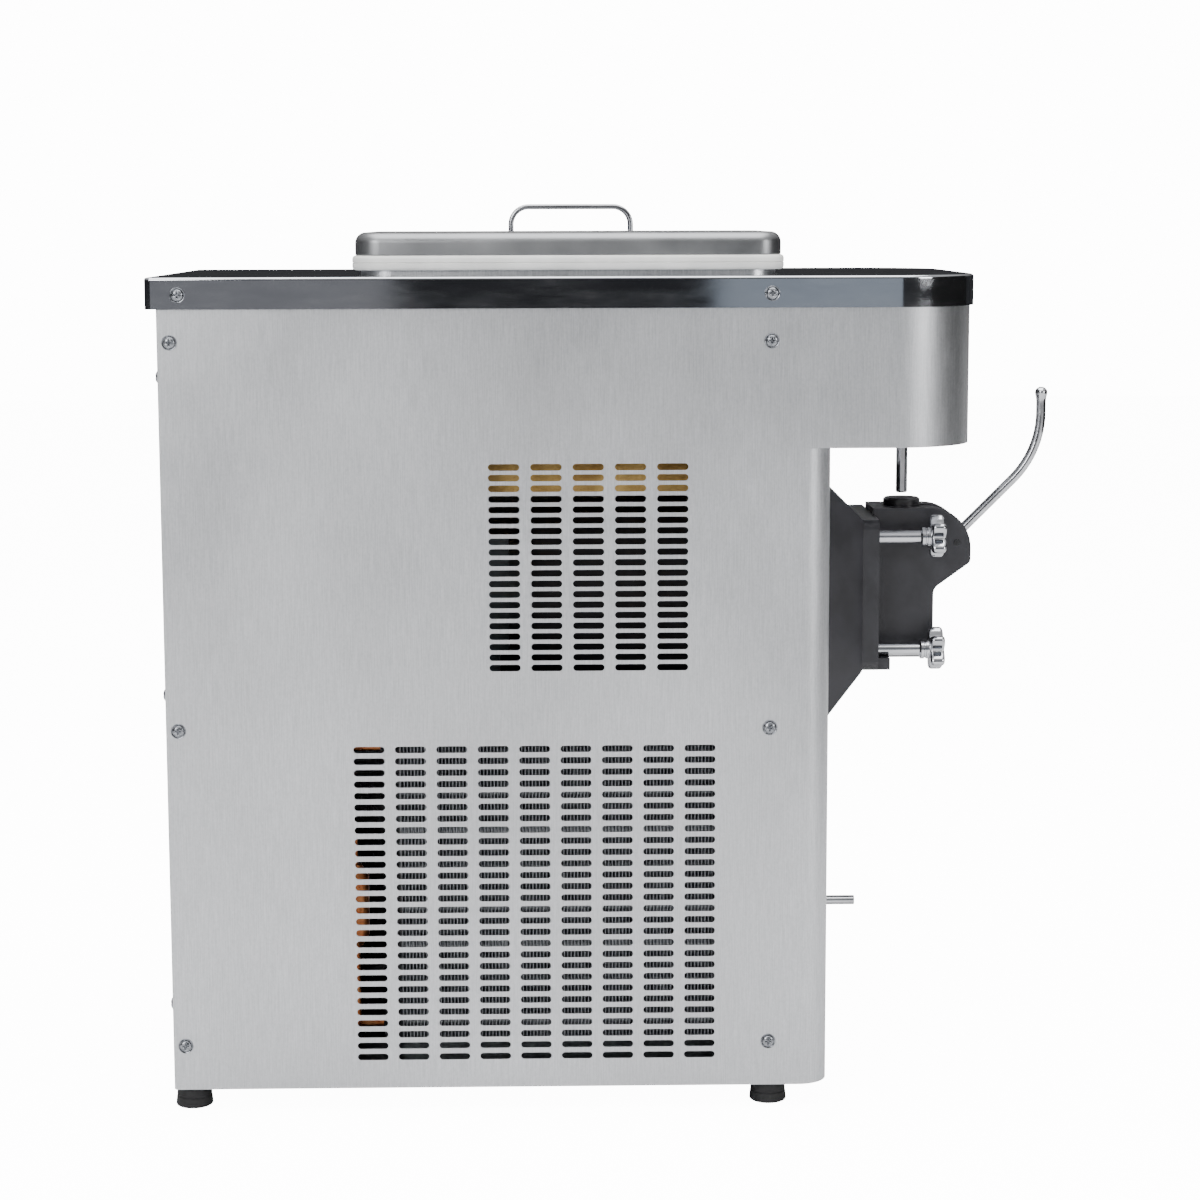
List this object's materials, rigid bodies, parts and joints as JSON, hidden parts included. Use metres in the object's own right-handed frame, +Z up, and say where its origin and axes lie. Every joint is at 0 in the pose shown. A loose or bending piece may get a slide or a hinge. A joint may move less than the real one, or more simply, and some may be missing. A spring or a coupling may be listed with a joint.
{
  "type": "ice cream maker",
  "caption": "Countertop soft-serve ice cream machine: vented steel cabinet, lidded mix hopper, dispensing head with a pull lever, hand nuts and a drain outlet.",
  "frame": {"origin": "on the floor, below the middle of the machine's overall box", "axes": "+Z up, -Y towards the dispensing head at the front, +X to the machine's right-hand side seen from behind (the pictured side faces -X)"},
  "size_m": [0.3556, 0.7576, 0.748],
  "materials": {
    "brushed_steel": "brushed",
    "polished_steel": "polished",
    "galvanised": "satin",
    "satin_lid": "satin",
    "black_rubber": "matt",
    "red_rubber": "satin",
    "white_seal": "satin",
    "charcoal_plastic": "satin",
    "black_plastic": "gloss",
    "white_plastic": "satin",
    "foam": "matt",
    "black_foam": "matt",
    "copper": "satin",
    "fins": "satin",
    "cast_grey": "satin",
    "black_enamel": "satin",
    "display": "gloss",
    "board": "satin",
    "switch_blue": "satin"
  },
  "bodies": {
    "cabinet": {"base_plate": "galvanised", "frame": "galvanised", "side_panel_left": "brushed_steel", "side_panel_right": "brushed_steel", "rear_panel": "brushed_steel", "front_panel": "brushed_steel", "visor_shell": "brushed_steel", "top_cover": "polished_steel", "feet": "black_rubber", "panel_screws": "polished_steel", "hopper": "brushed_steel", "hopper_insulation": "foam", "feed_tube": "white_plastic", "freezing_cylinder": "brushed_steel", "evaporator_coil": "copper", "cylinder_insulation": "black_foam", "shaft_seal": "black_rubber", "gearbox": "cast_grey", "drive_belt": "black_rubber", "drive_motor": "cast_grey", "head_bezel": "charcoal_plastic", "dispensing_head": "charcoal_plastic", "head_seal": "black_rubber", "head_studs": "polished_steel", "nozzle_star": "white_plastic", "lever_pin": "black_enamel", "rod_bushing": "white_plastic", "microswitch": "switch_blue", "drain_tube": "polished_steel", "control_fascia": "black_plastic", "display_window": "display", "control_board": "board", "compressor": "black_enamel", "condenser": "fins", "fan_shroud": "galvanised", "fan_motor": "black_enamel", "refrigerant_pipes": "copper", "filter_drier": "copper", "cord_gland": "black_plastic"},
    "lid": {"hopper_lid": "satin_lid", "lid_gasket": "white_seal", "lid_handle": "polished_steel"},
    "lever_arm": {"lever": "polished_steel"},
    "plunger": {"valve_plunger": "black_plastic", "plunger_o_rings": "red_rubber"},
    "rod": {"switch_rod": "polished_steel", "rod_spring": "polished_steel"},
    "beater_set": {"beater": "brushed_steel", "scraper_blades": "white_plastic", "drive_shaft": "polished_steel"},
    "input_pulley": {"gearbox_pulley": "cast_grey"},
    "motor_rotor": {"motor_pulley": "cast_grey"},
    "fan": {"fan_blade": "black_plastic"},
    "nut_upper_left": {"hand_nut_upper_left": "polished_steel"},
    "nut_upper_right": {"hand_nut_upper_right": "polished_steel"},
    "nut_lower_left": {"hand_nut_lower_left": "polished_steel"},
    "nut_lower_right": {"hand_nut_lower_right": "polished_steel"},
    "key_left": {"button_left": "white_plastic"},
    "key_middle": {"button_middle": "white_plastic"},
    "key_right": {"button_right": "white_plastic"}
  },
  "joints": [
    {"name": "lid_lift", "type": "slide", "parent": "cabinet", "child": "lid", "axis": [0, 0, 1], "range_m": [0, 0.15]},
    {"name": "lever_pivot", "type": "hinge", "parent": "cabinet", "child": "lever_arm", "pos_m": [0, -0.29719, 0.457], "axis": [1, 0, 0], "range_deg": [0, 25]},
    {"name": "plunger_slide", "type": "slide", "parent": "cabinet", "child": "plunger", "axis": [0, 0, 1], "range_m": [0, 0.02]},
    {"name": "rod_slide", "type": "slide", "parent": "cabinet", "child": "rod", "axis": [0, 0, 1], "range_m": [0, 0.0164], "stiffness_N_per_m": 150, "springref_m": -0.01, "deforming": ["rod_spring"]},
    {"name": "beater_spin", "type": "hinge", "parent": "cabinet", "child": "beater_set", "pos_m": [0, -0.07119, 0.416], "axis": [0, 1, 0], "continuous": true},
    {"name": "input_pulley_spin", "type": "hinge", "parent": "cabinet", "child": "input_pulley", "pos_m": [0, 0.17481, 0.416], "axis": [0, 1, 0], "continuous": true},
    {"name": "motor_spin", "type": "hinge", "parent": "cabinet", "child": "motor_rotor", "pos_m": [0.095, 0.17481, 0.416], "axis": [0, 1, 0], "continuous": true},
    {"name": "fan_spin", "type": "hinge", "parent": "cabinet", "child": "fan", "pos_m": [-0.085, 0.04961, 0.181], "axis": [1, 0, 0], "continuous": true},
    {"name": "nut_upper_left_spin", "type": "hinge", "parent": "cabinet", "child": "nut_upper_left", "pos_m": [-0.051, -0.24519, 0.4646], "axis": [0, 1, 0], "continuous": true},
    {"name": "nut_upper_right_spin", "type": "hinge", "parent": "cabinet", "child": "nut_upper_right", "pos_m": [0.051, -0.24519, 0.4646], "axis": [0, 1, 0], "continuous": true},
    {"name": "nut_lower_left_spin", "type": "hinge", "parent": "cabinet", "child": "nut_lower_left", "pos_m": [-0.051, -0.24519, 0.3674], "axis": [0, 1, 0], "continuous": true},
    {"name": "nut_lower_right_spin", "type": "hinge", "parent": "cabinet", "child": "nut_lower_right", "pos_m": [0.051, -0.24519, 0.3674], "axis": [0, 1, 0], "continuous": true},
    {"name": "key_left_press", "type": "slide", "parent": "cabinet", "child": "key_left", "axis": [0, 1, 0], "range_m": [0, 0.001], "stiffness_N_per_m": 300, "springref_m": -0.002},
    {"name": "key_middle_press", "type": "slide", "parent": "cabinet", "child": "key_middle", "axis": [0, 1, 0], "range_m": [0, 0.001], "stiffness_N_per_m": 300, "springref_m": -0.002},
    {"name": "key_right_press", "type": "slide", "parent": "cabinet", "child": "key_right", "axis": [0, 1, 0], "range_m": [0, 0.001], "stiffness_N_per_m": 300, "springref_m": -0.002}
  ],
  "couplings": [
    {"joint": "plunger_slide", "follows": "lever_pivot", "m_per_rad": 0.04573},
    {"joint": "rod_slide", "follows": "lever_pivot", "m_per_rad": 0.03748},
    {"joint": "input_pulley_spin", "follows": "beater_spin", "ratio": 4},
    {"joint": "motor_spin", "follows": "beater_spin", "ratio": 11.081}
  ]
}
